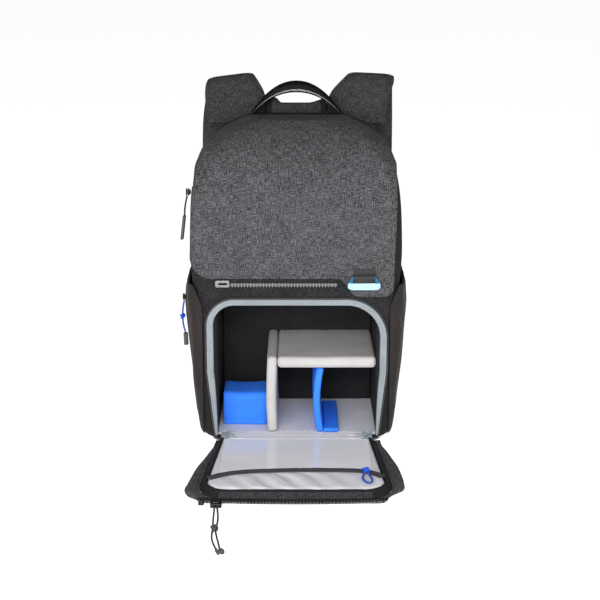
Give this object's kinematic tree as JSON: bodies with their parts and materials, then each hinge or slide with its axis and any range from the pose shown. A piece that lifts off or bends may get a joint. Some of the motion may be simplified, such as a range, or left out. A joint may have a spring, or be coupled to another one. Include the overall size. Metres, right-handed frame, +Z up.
{
  "type": "camera backpack",
  "caption": "Tall padded backpack with a lid flap, side pockets, shoulder straps and a divided camera compartment whose lined door lies folded down in front.",
  "frame": {"origin": "middle of the bag's base, on the floor that the bag stands on", "axes": "+Z up, -Y towards the front and the opened door, +X to the right seen from the front"},
  "size_m": [0.3032, 0.5755, 0.4665],
  "materials": {
    "shell_cloth": "matte black cloth",
    "back_padding": "dark heather cloth over foam",
    "pocket_cloth": "brown-black woven cloth",
    "flap_cloth": "charcoal heather weave",
    "strap_cloth": "dark heather weave over foam",
    "zip_tape": "black ribbed tape",
    "zip_metal": "bright metal",
    "blue_aluminium": "light blue anodised, satin",
    "webbing": "ribbed dark webbing",
    "rim_foam": "blue-grey brushed lining over foam",
    "grey_lining": "light grey brushed lining",
    "dark_lining": "dark brushed lining",
    "blue_lining": "vivid blue brushed lining",
    "clear_sheet": "clear glossy sheet",
    "slider_metal": "black, half gloss",
    "blue_cord": "braided blue cord",
    "dark_cord": "braided dark cord",
    "handle_gloss": "glossy black",
    "black_plastic": "half gloss black",
    "grip_rubber": "matte dark rubber"
  },
  "bodies": {
    "root": {"bag_shell": "shell_cloth", "base_panel": "shell_cloth", "back_panel": "back_padding", "side_pocket_left": "pocket_cloth", "side_pocket_right": "pocket_cloth", "flap": "flap_cloth", "front_zip": "zip_tape", "front_zip_end": "zip_metal", "hook_bar": "blue_aluminium", "hook_webbing": "webbing", "opening_rim": "rim_foam", "opening_tape": "zip_tape", "insert_floor": "grey_lining", "insert_roof": "dark_lining", "insert_side_left": "dark_lining", "insert_side_right": "dark_lining", "insert_back": "dark_lining", "divider_upright": "grey_lining", "divider_shelf": "grey_lining", "divider_blue_upright": "blue_lining", "divider_blue_fold": "blue_lining", "door_outer": "flap_cloth", "door_pad": "grey_lining", "door_tape": "zip_tape", "door_hinge_lining": "grey_lining", "door_window": "clear_sheet", "door_pocket_zip": "zip_tape", "door_pocket_slider": "slider_metal", "door_pocket_knot": "blue_cord", "door_pocket_loop": "blue_cord", "door_tip_zip": "zip_tape", "tip_slider_large": "slider_metal", "tip_slider_small": "slider_metal", "pull_cord_a_upper": "dark_cord", "pull_cord_a_lower": "dark_cord", "pull_cord_b_upper": "dark_cord", "pull_cord_b_lower": "dark_cord", "pull_knot_middle": "dark_cord", "pull_knot_end": "dark_cord", "carry_handle": "handle_gloss", "shoulder_strap_left": "strap_cloth", "shoulder_strap_right": "strap_cloth", "strap_buckle_left": "black_plastic", "strap_buckle_right": "black_plastic", "strap_anchor_left": "webbing", "strap_anchor_right": "webbing", "strap_webbing_left": "webbing", "strap_webbing_right": "webbing", "side_zip": "zip_tape", "side_slider": "slider_metal", "side_cord": "dark_cord", "side_grip": "grip_rubber", "pocket_slider": "slider_metal", "pocket_cord_upper": "dark_cord", "pocket_cord_lower": "blue_cord", "pocket_knot": "blue_cord", "pocket_grip": "grip_rubber"}
  },
  "joints": []
}
